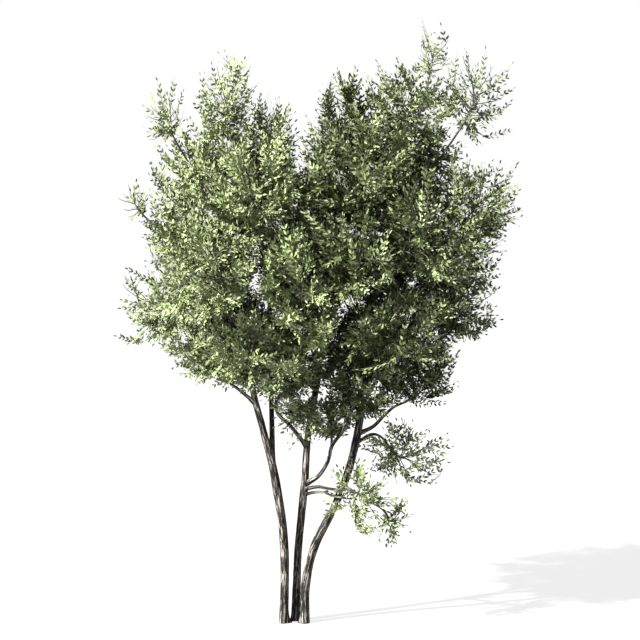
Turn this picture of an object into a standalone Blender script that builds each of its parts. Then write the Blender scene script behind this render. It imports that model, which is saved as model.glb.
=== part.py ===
"""Olive tree grown as a clump of three stems, with boughs and masses of foliage.

Metres, +Z up. The origin is on the flat cut under the middle stem, at the ground.
The widest face of the crown looks along -Y, its right side is at +X.
"""

import math
import random

import bmesh
import bpy
import numpy as np
from mathutils import Matrix, Vector

GAP = 0.0003            # air between two pieces that meet
CLEAR = 0.004           # least air between leaves and a piece that they don't belong to
SEED = 41

STEM_SIDES = 9
BOUGH_SIDES = 6
MASS_STEM_SIDES = 4
TWIG_SIDES = 3
STEM_RING_STEP = 0.34   # length of stem between two rings
BOUGH_RING_STEP = 0.17

TOE_HEIGHT = 0.035      # the flare of a stem's foot dies away over this height
TOE_REACH = 0.032       # how far a toe of the foot reaches out past the stem
TOE_SPAN = 0.3          # stems nearer than this grow toes towards each other

LEAF_LENGTH = 0.44      # each leaf stands for a whole spray
LEAF_LEAST = 0.20       # a shorter one is skipped
LEAF_WIDTH = 0.22
LEAF_THICKNESS = 0.0075
LEAF_SINK = 0.003       # a leaf's root starts this far behind its twig's centreline
LEAF_SHOULDER = 0.42    # where along its length a leaf is widest
LEAF_PLACES = (0.35, 0.62, 0.82, 0.98)  # where on a twig its leaves grow, as shares of its length
LEAF_TRIES = 24         # ways a leaf is tried in before it is skipped
LEAF_TESTS = 11         # places tested along a leaf, each at five points across it
LEAF_TEST_RADIUS = 0.018  # balls this big at those places leave no hole between them
TWIG_TESTS = 13         # points tested along a twig
LEAF_APART = 0.040      # leaves of one mass keep about this far apart

BLUNTNESS = 3.0         # a mass's room is an ellipsoid at 2 and nears a box above that
DEPTH_STEPS = 14
TWIGS_PER_METRE = 5.85  # twigs in a mass for each metre of its mean reach
TWIGS_LEAST = 4
TWIG_ROOT_RADIUS = 0.0110
TWIG_TIP_RADIUS = 0.0090
TWIG_REACH = 0.50       # a twig ends at this share of the way to the edge of its mass
MASS_STEM_RADIUS = 0.0150
STEM_PAST_CENTRE = 0.10  # a mass's stem ends past its centre by this share of its least reach

UPWARD = np.array((0.0, 0.0, 1.0))

BARK_COLOUR = (0.165, 0.140, 0.118, 1.0)
BARK_ROUGHNESS = 0.9
LEAF_COLOUR = (0.135, 0.165, 0.070, 1.0)
LEAF_ROUGHNESS = 0.6

# Limbs. Each has the limb that it leaves, the height where it leaves it, its radius there,
# and the stations (x, y, z, radius) that its centreline passes. A stem starts at the ground.
LIMBS = {
    "stem_left": (None, 0.0, 0.0, (
        (-0.128, -0.10, 0.00, 0.055), (-0.118, -0.10, 0.35, 0.049), (-0.116, -0.10, 0.75, 0.048),
        (-0.218, -0.11, 1.56, 0.047), (-0.432, -0.12, 2.41, 0.036), (-0.610, -0.08, 3.20, 0.030),
        (-0.745, -0.02, 4.20, 0.022), (-0.800, 0.00, 5.32, 0.012))),
    "stem_middle": (None, 0.0, 0.0, (
        (0.000, 0.00, 0.00, 0.048), (0.012, 0.00, 0.35, 0.045), (0.025, 0.00, 0.72, 0.044),
        (0.100, 0.01, 1.49, 0.043), (0.143, 0.03, 2.08, 0.036), (0.245, 0.05, 2.68, 0.036),
        (0.265, 0.06, 3.15, 0.029), (0.300, 0.04, 4.00, 0.022), (0.450, 0.00, 5.25, 0.012))),
    "stem_right": (None, 0.0, 0.0, (
        (0.112, -0.11, 0.00, 0.051), (0.108, -0.11, 0.35, 0.048), (0.220, -0.13, 0.86, 0.047),
        (0.424, -0.16, 1.27, 0.044), (0.584, -0.16, 1.68, 0.042), (0.700, -0.15, 2.19, 0.044),
        (0.750, -0.10, 2.80, 0.034), (0.860, -0.04, 3.58, 0.028), (1.060, 0.00, 4.35, 0.021),
        (1.150, 0.00, 5.32, 0.012))),
    "fork_left": ("stem_left", 1.72, 0.034, (
        (-0.256, -0.06, 2.10, 0.029), (-0.270, 0.00, 2.60, 0.027), (-0.280, 0.04, 3.10, 0.024),
        (-0.300, 0.10, 3.96, 0.018), (-0.280, 0.10, 4.95, 0.011))),
    "bough_low_left": ("stem_left", 2.38, 0.024, (
        (-0.560, -0.13, 2.50, 0.019), (-0.700, -0.12, 2.60, 0.016), (-0.860, -0.09, 2.66, 0.013))),
    "bough_lobe": ("stem_left", 2.85, 0.021, (
        (-0.850, -0.08, 3.15, 0.017), (-1.230, -0.04, 3.42, 0.012))),
    "bough_left": ("stem_left", 3.50, 0.020, (
        (-0.880, -0.03, 3.86, 0.017), (-1.120, 0.00, 4.15, 0.012))),
    "bough_front_left": ("stem_left", 2.95, 0.022, (
        (-0.660, -0.32, 3.22, 0.018), (-0.760, -0.58, 3.54, 0.012))),
    "bough_back_left": ("fork_left", 2.75, 0.021, (
        (-0.460, 0.30, 3.10, 0.017), (-0.720, 0.58, 3.52, 0.012))),
    "bough_loop": ("stem_middle", 1.90, 0.026, (
        (-0.060, -0.16, 2.16, 0.021), (-0.200, -0.22, 2.32, 0.019), (-0.205, -0.22, 2.42, 0.018),
        (-0.110, -0.20, 2.53, 0.014))),
    "bough_rise": ("stem_middle", 1.49, 0.028, (
        (0.250, -0.04, 1.59, 0.023), (0.350, -0.10, 1.75, 0.021), (0.400, -0.15, 1.93, 0.020),
        (0.505, -0.25, 2.09, 0.018), (0.590, -0.31, 2.27, 0.014))),
    "bough_level": ("stem_middle", 1.44, 0.023, (
        (0.250, -0.14, 1.485, 0.019), (0.440, -0.29, 1.480, 0.015), (0.540, -0.34, 1.500, 0.012))),
    "bough_droop": ("stem_middle", 1.38, 0.018, (
        (0.260, -0.11, 1.425, 0.015), (0.470, -0.30, 1.395, 0.012), (0.670, -0.30, 1.370, 0.011),
        (0.860, -0.26, 1.310, 0.009), (0.950, -0.24, 1.250, 0.008))),
    "bough_dark": ("stem_right", 2.06, 0.024, (
        (0.860, -0.13, 2.15, 0.020), (0.960, -0.12, 2.25, 0.018), (1.080, -0.09, 2.35, 0.015),
        (1.200, -0.05, 2.40, 0.012))),
    "bough_fan": ("stem_right", 1.96, 0.019, (
        (0.870, -0.18, 2.06, 0.015), (0.960, -0.20, 2.01, 0.012), (1.000, -0.19, 1.95, 0.010))),
    "bough_front_right": ("stem_right", 2.36, 0.024, (
        (0.850, -0.38, 2.62, 0.019), (0.980, -0.60, 2.96, 0.013))),
    "bough_back_right": ("stem_right", 2.75, 0.024, (
        (0.950, 0.25, 3.15, 0.019), (1.130, 0.62, 3.55, 0.013))),
    "bough_reach": ("stem_right", 2.55, 0.024, (
        (1.060, -0.06, 2.98, 0.019), (1.330, -0.03, 3.26, 0.015), (1.570, -0.01, 3.35, 0.012))),
    "bough_high": ("stem_right", 4.20, 0.020, (
        (1.270, 0.01, 4.62, 0.016), (1.450, 0.01, 4.98, 0.012))),
}

# Masses of foliage. Each has the limb that it grows from, the height where it leaves it (TIP is
# the limb's end), its centre (x, y, z) and its reach (x, y, z) to each side of that centre.
TIP = None
MASSES = {
    "left_top": ("stem_left", TIP, (-0.74, -0.18, 5.56), (0.36, 0.62, 0.66)),
    "left_top_inner": ("fork_left", TIP, (-0.40, 0.28, 5.26), (0.46, 0.64, 0.62)),
    "left_spray": ("stem_left", 4.35, (-1.40, -0.12, 5.50), (0.27, 0.32, 0.47)),
    "left_shoulder": ("stem_left", 4.05, (-1.06, 0.22, 5.02), (0.51, 0.74, 0.70)),
    "left_upper_front": ("stem_left", 3.72, (-0.50, -0.62, 4.60), (0.74, 0.76, 0.76)),
    "left_upper_back": ("fork_left", 3.85, (-0.58, 0.70, 4.78), (0.74, 0.78, 0.76)),
    "left_flank": ("bough_left", TIP, (-1.18, -0.22, 4.46), (0.52, 0.78, 0.70)),
    "left_outlier": ("bough_left", 3.95, (-1.74, -0.20, 4.58), (0.24, 0.28, 0.30)),
    "left_lobe": ("bough_lobe", TIP, (-1.52, 0.20, 3.44), (0.55, 0.78, 0.50)),
    "left_front": ("bough_front_left", TIP, (-0.85, -0.80, 3.88), (0.78, 0.80, 0.82)),
    "left_back": ("bough_back_left", TIP, (-0.97, 0.90, 3.95), (0.82, 0.86, 0.86)),
    "left_low": ("bough_low_left", TIP, (-0.93, -0.16, 3.17), (0.58, 0.84, 0.61)),
    "left_low_front": ("stem_left", 2.66, (-0.42, -0.72, 3.12), (0.70, 0.74, 0.64)),
    "left_low_back": ("fork_left", 2.50, (-0.55, 0.75, 3.18), (0.86, 0.80, 0.76)),
    "centre_upper": ("fork_left", 3.60, (0.04, -0.08, 4.32), (0.64, 0.78, 0.70)),
    "centre_back": ("stem_middle", 3.25, (0.10, 0.86, 3.92), (0.88, 0.86, 1.06)),
    "centre_front": ("stem_middle", 2.90, (0.06, -0.78, 3.66), (0.76, 0.78, 0.86)),
    "centre_low": ("bough_loop", TIP, (-0.02, -0.12, 2.84), (0.60, 0.74, 0.58)),
    "centre_hanging": ("stem_middle", 2.40, (0.06, -0.30, 2.28), (0.36, 0.41, 0.41)),
    "right_top_inner": ("stem_middle", TIP, (0.62, 0.20, 5.46), (0.44, 0.68, 0.68)),
    "right_top": ("stem_right", TIP, (1.24, -0.16, 5.56), (0.56, 0.72, 0.62)),
    "right_spire": ("stem_right", 4.70, (1.50, -0.06, 6.18), (0.24, 0.28, 0.46)),
    "right_horn": ("bough_high", 4.62, (1.99, 0.14, 5.80), (0.48, 0.48, 0.60)),
    "right_shoulder": ("bough_high", TIP, (1.46, 0.20, 5.20), (0.46, 0.74, 0.56)),
    "right_upper_front": ("stem_middle", 4.00, (0.66, -0.64, 4.75), (0.74, 0.80, 0.80)),
    "right_upper_back": ("stem_right", 4.05, (1.00, 0.80, 4.85), (0.82, 0.84, 0.82)),
    "right_flank": ("stem_right", 3.80, (1.96, -0.20, 4.56), (0.55, 0.74, 0.54)),
    "right_side": ("stem_right", 3.30, (1.80, 0.20, 4.04), (0.54, 0.82, 0.56)),
    "right_reach": ("bough_reach", TIP, (1.72, -0.20, 3.46), (0.53, 0.74, 0.46)),
    "right_front": ("stem_right", 3.50, (1.34, -0.80, 4.22), (0.76, 0.82, 0.80)),
    "right_front_inner": ("stem_middle", 3.35, (0.64, -0.88, 3.92), (0.74, 0.76, 0.80)),
    "right_back": ("bough_back_right", TIP, (1.26, 1.00, 3.95), (0.88, 0.86, 0.88)),
    "right_low_front": ("bough_front_right", TIP, (1.05, -0.78, 3.30), (0.76, 0.76, 0.68)),
    "right_low_back": ("stem_right", 2.45, (1.00, 0.78, 3.18), (0.90, 0.80, 0.80)),
    "right_low": ("bough_dark", TIP, (1.38, 0.20, 2.78), (0.48, 0.68, 0.48)),
    "right_low_inner": ("bough_rise", TIP, (0.72, -0.34, 2.68), (0.56, 0.58, 0.52)),
    "fork_tuft": ("bough_rise", 1.90, (0.40, 0.12, 2.28), (0.34, 0.38, 0.34)),
    "skirt_fan": ("bough_fan", TIP, (1.16, -0.17, 1.84), (0.66, 0.46, 0.42)),
    "skirt_level": ("bough_level", TIP, (0.74, -0.36, 1.43), (0.56, 0.40, 0.48)),
    "skirt_droop": ("bough_droop", TIP, (1.05, -0.22, 1.14), (0.25, 0.26, 0.36)),
}


# ---------------------------------------------------------------- paths

def smooth_route(stations, step):
    """Points about `step` apart on a smooth curve through the stations (x, y, z, radius)."""
    stations = np.asarray(stations, float)
    chords = np.linalg.norm(np.diff(stations[:, :3], axis=0), axis=1)
    slopes = np.diff(stations, axis=0) / chords[:, None]
    weights = chords[:, None]
    inner = (slopes[:-1] * weights[1:] + slopes[1:] * weights[:-1]) / (weights[:-1] + weights[1:])
    slopes = np.vstack([slopes[:1], inner, slopes[-1:]])
    fine = [stations[0]]
    for i, chord in enumerate(chords):
        for t in np.linspace(0, 1, 13)[1:]:
            rise = t * t * (3 - 2 * t)
            leave = t * (1 - t) ** 2 * chord
            arrive = t * t * (t - 1) * chord
            fine.append(stations[i] * (1 - rise) + stations[i + 1] * rise
                        + slopes[i] * leave + slopes[i + 1] * arrive)
    fine = np.array(fine)
    run = np.concatenate([[0], np.cumsum(np.linalg.norm(np.diff(fine[:, :3], axis=0), axis=1))])
    marks = np.linspace(0, run[-1], max(3, round(run[-1] / step) + 1))
    return np.column_stack([np.interp(marks, run, fine[:, k]) for k in range(4)])


def arc(start, leave, end, arrive, radii, count):
    """A curve from start to end that leaves and arrives along the given directions."""
    length = np.linalg.norm(end - start)
    t = np.linspace(0, 1, count)[:, None]
    rise = t * t * (3 - 2 * t)
    points = (start * (1 - rise) + end * rise
              + leave * length * t * (1 - t) ** 2 + arrive * length * t * t * (t - 1))
    return np.column_stack([points, np.linspace(*radii, count)])


def unit(vector):
    return vector / np.linalg.norm(vector)


def at_height(route, height):
    """The point of a rising route at a height, its end if the height is TIP, and the direction there."""
    if height is TIP:
        return route[-1, :3], unit(route[-1, :3] - route[-2, :3])
    i = int(np.argmax(route[1:, 2] > height))
    share = (height - route[i, 2]) / (route[i + 1, 2] - route[i, 2])
    point = route[i, :3] + share * (route[i + 1, :3] - route[i, :3])
    return point, unit(route[i + 1, :3] - route[i, :3])


# ---------------------------------------------------------------- solids

def mesh_object(name, bm):
    mesh = bpy.data.meshes.new(name)
    bmesh.ops.recalc_face_normals(bm, faces=bm.faces)
    bm.to_mesh(mesh)
    bm.free()
    obj = bpy.data.objects.new(name, mesh)
    bpy.context.scene.collection.objects.link(obj)
    return obj


def tube(name, route, sides, first=None, toes=(), swell=0.0):
    """A closed tube round a route. Its first end faces along `first`, its foot flares into toes."""
    along = np.gradient(route[:, :3], axis=0)
    if first is not None:
        along[0] = first
    across = Vector((1, 0, 0)) if abs(unit(along[0])[0]) < 0.9 else Vector((0, 1, 0))
    bm = bmesh.new()
    rings = []
    for station, direction in zip(route, along):
        direction = Vector(direction).normalized()
        across = (across - across.dot(direction) * direction).normalized()
        beside = direction.cross(across)
        ring = []
        for k in range(sides):
            angle = 2 * math.pi * k / sides
            spoke = math.cos(angle) * across + math.sin(angle) * beside
            radius = float(station[3]) + swell / math.cos(math.pi / sides)
            for toe in toes:
                lobe = max(0.0, math.cos(angle - toe)) ** 4
                radius += TOE_REACH * lobe * math.exp(-station[2] / TOE_HEIGHT)
            ring.append(bm.verts.new(Vector(station[:3]) + radius * spoke))
        rings.append(ring)
    for lower, upper in zip(rings, rings[1:]):
        for k in range(sides):
            bm.faces.new((lower[k - 1], lower[k], upper[k], upper[k - 1]))
    bm.faces.new(rings[0])
    bm.faces.new(rings[-1])
    return mesh_object(name, bm)


def leaf(name, root, direction, normal, length):
    """A flat eight-faced blade, the hull of its root, its tip and a thin diamond across it."""
    side = direction.cross(normal).normalized()
    normal = side.cross(direction).normalized()
    half = LEAF_WIDTH * math.sqrt(length / LEAF_LENGTH) / 2
    shoulder = root + direction * length * LEAF_SHOULDER
    bm = bmesh.new()
    for corner in (root, root + direction * length,
                   shoulder + side * half, shoulder - side * half,
                   shoulder + normal * LEAF_THICKNESS / 2, shoulder - normal * LEAF_THICKNESS / 2):
        bm.verts.new(corner)
    bmesh.ops.convex_hull(bm, input=bm.verts)
    return mesh_object(name, bm)


def boolean(obj, operation, cutter=None, collection=None):
    """Apply one Boolean with an object or with a collection, and remove what it was made with."""
    modifier = obj.modifiers.new(operation.lower(), "BOOLEAN")
    modifier.operation = operation
    if collection:
        modifier.operand_type = "COLLECTION"
        modifier.collection = collection
        used = list(collection.objects)
    else:
        modifier.object = cutter
        used = [cutter]
    bpy.context.view_layer.objects.active = obj
    bpy.ops.object.modifier_apply(modifier=modifier.name)
    for other in used:
        bpy.data.objects.remove(other)
    if collection:
        bpy.data.collections.remove(collection)


def keep_outer_skin(obj):
    """Fill sealed hollows and drop loose scrap: only the largest closed skin of a mesh stays."""
    bm = bmesh.new()
    bm.from_mesh(obj.data)
    shells = []
    waiting = set(bm.faces)
    while waiting:
        shell = [waiting.pop()]
        for face in shell:
            for edge in face.edges:
                fresh = [other for other in edge.link_faces if other in waiting]
                waiting.difference_update(fresh)
                shell.extend(fresh)
        shells.append(shell)
    shells.sort(key=len)
    for shell in shells[:-1]:
        bmesh.ops.delete(bm, geom=shell, context="FACES")
    bm.to_mesh(obj.data)
    bm.free()


# ---------------------------------------------------------------- space of each piece

def segments_of(route):
    return np.hstack([route[:-1], route[1:]])


def clear_of(points, radii, segments):
    """Whether balls at the points stay CLEAR of the tapering tubes round the segments."""
    start, end = segments[:, :3], segments[:, 4:7]
    way = end - start
    share = np.einsum("psk,sk->ps", points[:, None] - start, way) / (way ** 2).sum(axis=1)
    share = share.clip(0, 1)
    nearest = start + share[..., None] * way
    gap = np.linalg.norm(points[:, None] - nearest, axis=2)
    gap -= segments[:, 3] * (1 - share) + segments[:, 7] * share
    return bool((gap.min(axis=1) > radii + CLEAR).all())


class Space:
    """The room of one mass: a blunt ellipsoid, cut flat where it meets a neighbour's."""

    def __init__(self, name):
        self.centre, self.reach = (np.array(value) for value in MASSES[name][2:])
        self.normals = []
        self.offsets = []
        for other in MASSES:
            if other == name:
                continue
            centre, reach = (np.array(value) for value in MASSES[other][2:])
            across = centre - self.centre
            if (np.abs(across) > self.reach + reach).any():
                continue
            distance = np.linalg.norm(across)
            normal = across / distance
            mine = 1 / np.linalg.norm(normal / self.reach)
            theirs = 1 / np.linalg.norm(normal / reach)
            share = np.clip((distance + mine - theirs) / 2, 0.15 * distance, 0.85 * distance)
            self.normals.append(normal)
            self.offsets.append(normal @ self.centre + share - CLEAR / 2)
        self.normals = np.array(self.normals).reshape(-1, 3)
        self.offsets = np.array(self.offsets)

    def within(self, points):
        return (np.abs((points - self.centre) / self.reach) ** BLUNTNESS).sum(axis=-1) <= 1

    def holds(self, points):
        return bool(self.within(points).all() and (points @ self.normals.T <= self.offsets).all())

    def depth_along(self, point, direction):
        """How far the room goes from a point inside it in a direction."""
        low, high = 0.0, 2.5 * self.reach.max()
        for _ in range(DEPTH_STEPS):
            middle = (low + high) / 2
            if self.within(point + direction * middle):
                low = middle
            else:
                high = middle
        edges = [low]
        for normal, offset in zip(self.normals, self.offsets):
            if normal @ direction > 1e-6:
                edges.append((offset - normal @ point) / (normal @ direction))
        return min(edges)


# ---------------------------------------------------------------- limbs

def limb_routes():
    routes = {}
    for name, (parent, height, radius, stations) in LIMBS.items():
        if parent:
            root = at_height(routes[parent], height)[0]
            stations = ((*root, radius), *stations)
        routes[name] = smooth_route(stations, BOUGH_RING_STEP if parent else STEM_RING_STEP)
        if not parent:
            routes[name] = with_foot(routes[name])
    return routes


def with_foot(route):
    """Add rings close above the ground, where a stem's foot flares."""
    low = [route[0] + (route[1] - route[0]) * height / route[1, 2]
           for height in (TOE_HEIGHT / 2, TOE_HEIGHT, TOE_HEIGHT * 2.5)]
    return np.vstack([route[:1], low, route[1:]])


def limb_tube(name, routes, swell=0.0):
    route = routes[name]
    if LIMBS[name][0]:
        return tube(name, route, BOUGH_SIDES, swell=swell)
    toes = []
    for other, (parent, *_) in LIMBS.items():
        if other != name and not parent:
            way = routes[other][0] - route[0]
            if math.hypot(way[0], way[1]) < TOE_SPAN:
                toes.append(math.atan2(way[1], way[0]))
    return tube(name, route, STEM_SIDES, first=(0, 0, 1), toes=toes, swell=swell)


def meet(route, other):
    """Whether two limbs come close enough to touch."""
    points = route[:, :3]
    return not clear_of(points, route[:, 3] + 2 * TOE_REACH, segments_of(other))


def grow_limbs(routes):
    for index, name in enumerate(LIMBS):
        obj = limb_tube(name, routes)
        for earlier in list(LIMBS)[:index]:
            if meet(routes[name], routes[earlier]):
                boolean(obj, "DIFFERENCE", cutter=limb_tube(earlier, routes, swell=GAP))
        obj.data.shade_smooth()
        obj.data.set_sharp_from_angle(angle=math.radians(50))
        finish(obj, routes[name][0, :3], BARK_COLOUR, BARK_ROUGHNESS)


# ---------------------------------------------------------------- masses of foliage

def mass_routes(routes):
    """The route of the one stem that carries each mass, from its limb to its centre."""
    stems = {}
    for name, (limb, height, centre, reach) in MASSES.items():
        start, facing = at_height(routes[limb], height)
        if height is TIP:
            start = start + facing * GAP
        way = unit(np.array(centre) - start)
        leave = facing if height is TIP else unit(way + 0.5 * facing)
        end = np.array(centre) + way * min(reach) * STEM_PAST_CENTRE
        stems[name] = arc(start, leave, end, unit(way + UPWARD), (MASS_STEM_RADIUS, TWIG_ROOT_RADIUS), 4)
    return stems


def grow_twigs(space, stem, dice, blocked):
    """Twigs from the stem of a mass towards points spread evenly round its centre."""
    count = max(TWIGS_LEAST, round(TWIGS_PER_METRE * space.reach.mean()))
    turn = dice.uniform(0, 2 * math.pi)
    way = unit(stem[-1, :3] - stem[-2, :3])
    entry = next(share for share in np.linspace(0, 1, 41) if space.holds(stem_point(stem, share)[None]))
    twigs = []
    for k in range(count):
        height = 1 - (2 * k + 1) / count
        angle = turn + k * math.pi * (3 - math.sqrt(5))
        flat = math.sqrt(1 - height * height)
        direction = np.array((flat * math.cos(angle), flat * math.sin(angle), height))
        end = space.centre + direction * space.depth_along(space.centre, direction) * TWIG_REACH
        forward = (1 + direction @ way) / 2
        start = stem_point(stem, entry + (0.98 - entry) * (0.2 + 0.8 * forward))
        twig = np.vstack([np.append(start, TWIG_ROOT_RADIUS), np.append(end, TWIG_TIP_RADIUS)])
        points = np.linspace(twig[0], twig[1], TWIG_TESTS)
        if space.holds(points[-2:, :3]) and clear_of(points[:, :3], points[:, 3], blocked):
            twigs.append(twig)
    return twigs


def stem_point(stem, place):
    """The point at a share of a stem's stations."""
    marks = np.linspace(0, 1, len(stem))
    return np.array([np.interp(place, marks, stem[:, k]) for k in range(3)])


def random_direction(dice):
    height = dice.uniform(-1, 1)
    angle = dice.uniform(0, 2 * math.pi)
    flat = math.sqrt(1 - height * height)
    return np.array((flat * math.cos(angle), flat * math.sin(angle), height))


def grow_leaves(space, twigs, dice, blocked):
    """Leaves (root, direction, normal, length) on the twigs, spread as evenly as they fit."""
    leaves = []
    taken = np.array([space.centre])
    for k, twig in enumerate(twigs):
        own = np.vstack([segments_of(other) for other in twigs[:k] + twigs[k + 1:]])
        for place in LEAF_PLACES:
            root = stem_point(twig, place)
            ahead = unit(stem_point(twig, place + 0.03) - stem_point(twig, place - 0.03))
            spread = 0.35 if place == LEAF_PLACES[-1] else 1.1
            best = None
            for attempt in range(LEAF_TRIES):
                direction = unit(ahead + spread * random_direction(dice))
                normal = random_direction(dice)
                length = min(LEAF_LENGTH * dice.uniform(0.85, 1.0),
                             0.98 * space.depth_along(root, direction))
                points, radii = leaf_points(root, direction, normal, length)
                if length < LEAF_LEAST or not space.holds(points) or not clear_of(points, radii, blocked):
                    continue
                room = np.linalg.norm(points[5:, None] - taken, axis=2).min()
                if room < LEAF_APART or not clear_of(points[10:], radii[10:], own):
                    continue
                score = room + length / 3
                if best is None or score > best[0]:
                    best = (score, points, (root - direction * LEAF_SINK, direction, normal, length))
            if best:
                taken = np.vstack([taken, best[1]])
                leaves.append(best[2])
    return leaves


def leaf_points(root, direction, normal, length):
    """Points over a leaf, from its root on, and the thickness round each."""
    side = unit(np.cross(direction, normal))
    half = LEAF_WIDTH * math.sqrt(length / LEAF_LENGTH) / 2
    points = []
    for share in np.linspace(0, 1, LEAF_TESTS):
        width = half * min(share / LEAF_SHOULDER, (1 - share) / (1 - LEAF_SHOULDER))
        points += [root + direction * length * share + side * width * across for across in (-1, -0.5, 0, 0.5, 1)]
    return np.array(points), np.full(len(points), LEAF_TEST_RADIUS)


def grow_masses(routes):
    stems = mass_routes(routes)
    limbs = np.vstack([segments_of(route) for route in routes.values()])
    for index, name in enumerate(MASSES):
        dice = random.Random(SEED + index)
        space = Space(name)
        blocked = np.vstack([limbs] + [segments_of(stem) for other, stem in stems.items() if other != name])
        twigs = grow_twigs(space, stems[name], dice, blocked)
        leaves = grow_leaves(space, twigs, dice, blocked)
        limb, height = MASSES[name][:2]
        facing = at_height(routes[limb], height)[1] if height is TIP else None
        obj = tube(name, stems[name], MASS_STEM_SIDES, first=facing)
        pieces = bpy.data.collections.new(name + "_pieces")
        for k, twig in enumerate(twigs):
            move(tube(f"{name}_twig_{k}", twig, TWIG_SIDES), pieces)
        for k, (root, direction, normal, length) in enumerate(leaves):
            move(leaf(f"{name}_leaf_{k}", Vector(root), Vector(direction), Vector(normal), length), pieces)
        boolean(obj, "UNION", collection=pieces)
        if height is not TIP:
            boolean(obj, "DIFFERENCE", cutter=limb_tube(limb, routes, swell=GAP))
        keep_outer_skin(obj)
        finish(obj, stems[name][0, :3], LEAF_COLOUR, LEAF_ROUGHNESS)


def move(obj, collection):
    bpy.context.scene.collection.objects.unlink(obj)
    collection.objects.link(obj)


# ---------------------------------------------------------------- finish

def finish(obj, origin, colour, roughness):
    """Give a piece its own material and an origin at its root, under the tree's empty."""
    material = bpy.data.materials.new(obj.name)
    material.use_nodes = True
    shader = material.node_tree.nodes["Principled BSDF"]
    shader.inputs["Base Color"].default_value = colour
    shader.inputs["Roughness"].default_value = roughness
    shader.inputs["Metallic"].default_value = 0.0
    obj.data.materials.clear()
    obj.data.materials.append(material)
    obj.data.transform(Matrix.Translation(-Vector(origin)))
    obj.location = origin
    obj.parent = bpy.data.objects["olive_tree"]


def main():
    for obj in list(bpy.data.objects):
        bpy.data.objects.remove(obj)
    tree = bpy.data.objects.new("olive_tree", None)
    bpy.context.scene.collection.objects.link(tree)
    routes = limb_routes()
    grow_limbs(routes)
    grow_masses(routes)


main()
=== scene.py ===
"""The looks of a multi-stem olive tree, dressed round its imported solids.

Metres, +Z up, in the frame of the solids. Each limb gets bark with real relief. Each mass of
foliage grows on from its limb by the rule that its solid follows, carried on to fine shoots
that bear leaves in opposite pairs.
"""
import math

import bpy
import numpy as np
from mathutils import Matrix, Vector


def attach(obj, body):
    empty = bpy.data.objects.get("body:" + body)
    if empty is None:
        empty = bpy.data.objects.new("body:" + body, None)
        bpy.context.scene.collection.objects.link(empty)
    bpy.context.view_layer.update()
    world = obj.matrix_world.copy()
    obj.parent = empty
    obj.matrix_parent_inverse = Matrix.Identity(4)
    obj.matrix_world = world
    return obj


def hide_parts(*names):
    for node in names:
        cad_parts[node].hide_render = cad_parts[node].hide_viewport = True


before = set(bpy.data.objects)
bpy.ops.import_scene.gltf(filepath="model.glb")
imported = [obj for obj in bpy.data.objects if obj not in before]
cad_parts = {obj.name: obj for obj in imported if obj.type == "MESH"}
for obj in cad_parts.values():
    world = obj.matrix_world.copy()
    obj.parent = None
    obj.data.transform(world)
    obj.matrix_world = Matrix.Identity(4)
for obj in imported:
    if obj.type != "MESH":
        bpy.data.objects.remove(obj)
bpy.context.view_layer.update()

SEED = 41                      # each limb and each mass has its own dice, numbered from here
UPWARD = np.array((0.0, 0.0, 1.0))
SIDEWAYS = np.array((1.0, 0.0, 0.0))
STEEP = 0.9                    # a direction with more than this of an axis runs near that axis
GOLDEN_ANGLE = math.pi * (3 - math.sqrt(5))
TINY = 1e-6

# Routes of the limbs
ROUTE_STEPS = 24               # between two stations, before the rings are spread along the route
RING_HEIGHTS = (2.3, 3.0)      # rings lie closer below the first height than above the second
RING_STEPS = (0.012, 0.028)
RINGS_LEAST = 4

# Bark
SIDE_WIDTH = 0.0065            # width of one face round a limb, at its foot
SIDES_LEAST = 14
RIDGE_WIDTH = 0.030            # a plate of bark, across and along the limb
RIDGE_LENGTH = 0.26
RIDGES_LEAST = 4               # plates round a thin limb
RIDGE_OCTAVES = ((1, 0.55), (2, 0.45))  # how many times finer, and the share in the height
RIDGE_SHARPNESS = 0.6          # below 1, cracks are narrow and plates are wide
SWAY = 1.3                     # how many plates' widths the cracks wander sideways
SWAY_CELLS = 3                 # cells of that wandering round a limb, and their length
SWAY_LENGTH = 0.11
BARK_DEPTH = 0.0060            # from the top of a ridge to the bottom of a crack, on a stem
BARK_MIDDLE = 0.65             # this height of the bark lies at the limb's own radius
FULL_DEPTH_RADIUS = 0.045      # a thinner limb has shallower bark
DEPTH_LEAST = 0.2              # but no less than this share
LUMP_SHARE = 0.07              # how far the limb's own roundness varies
LUMP_CELLS = 4                 # lumps round a limb, and their length
LUMP_LENGTH = 0.22
COLLAR_SHARE = 0.45            # how much a bough swells where it leaves its parent
COLLAR_LENGTH = 0.07
TOE_HEIGHT = 0.045             # the flare of a stem's foot dies away over this height
TOE_REACH = 0.030
TOE_POWER = 4                  # the higher, the narrower a toe
TOE_SPAN = 0.3                 # stems nearer than this grow toes towards each other

# Rooms of the masses
CLEAR = 0.004                  # least air round the other limbs, and between two rooms
NEAR_LIMB = 0.1                # limbs farther than this from a room can't touch what grows in it
LIMB_STRIDE = 5                # every fifth ring of a limb is enough to keep clear of it
BLUNTNESS = 3.0                # a mass's room is an ellipsoid at 2 and nears a box above that
MEET_LEAST = 0.15              # two rooms meet at least this share of the way from each centre
DEPTH_STEPS = 12               # halvings in the search for a room's edge
DEPTH_MOST = 2.5               # an edge is nearer than this many times the room's longest reach

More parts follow.
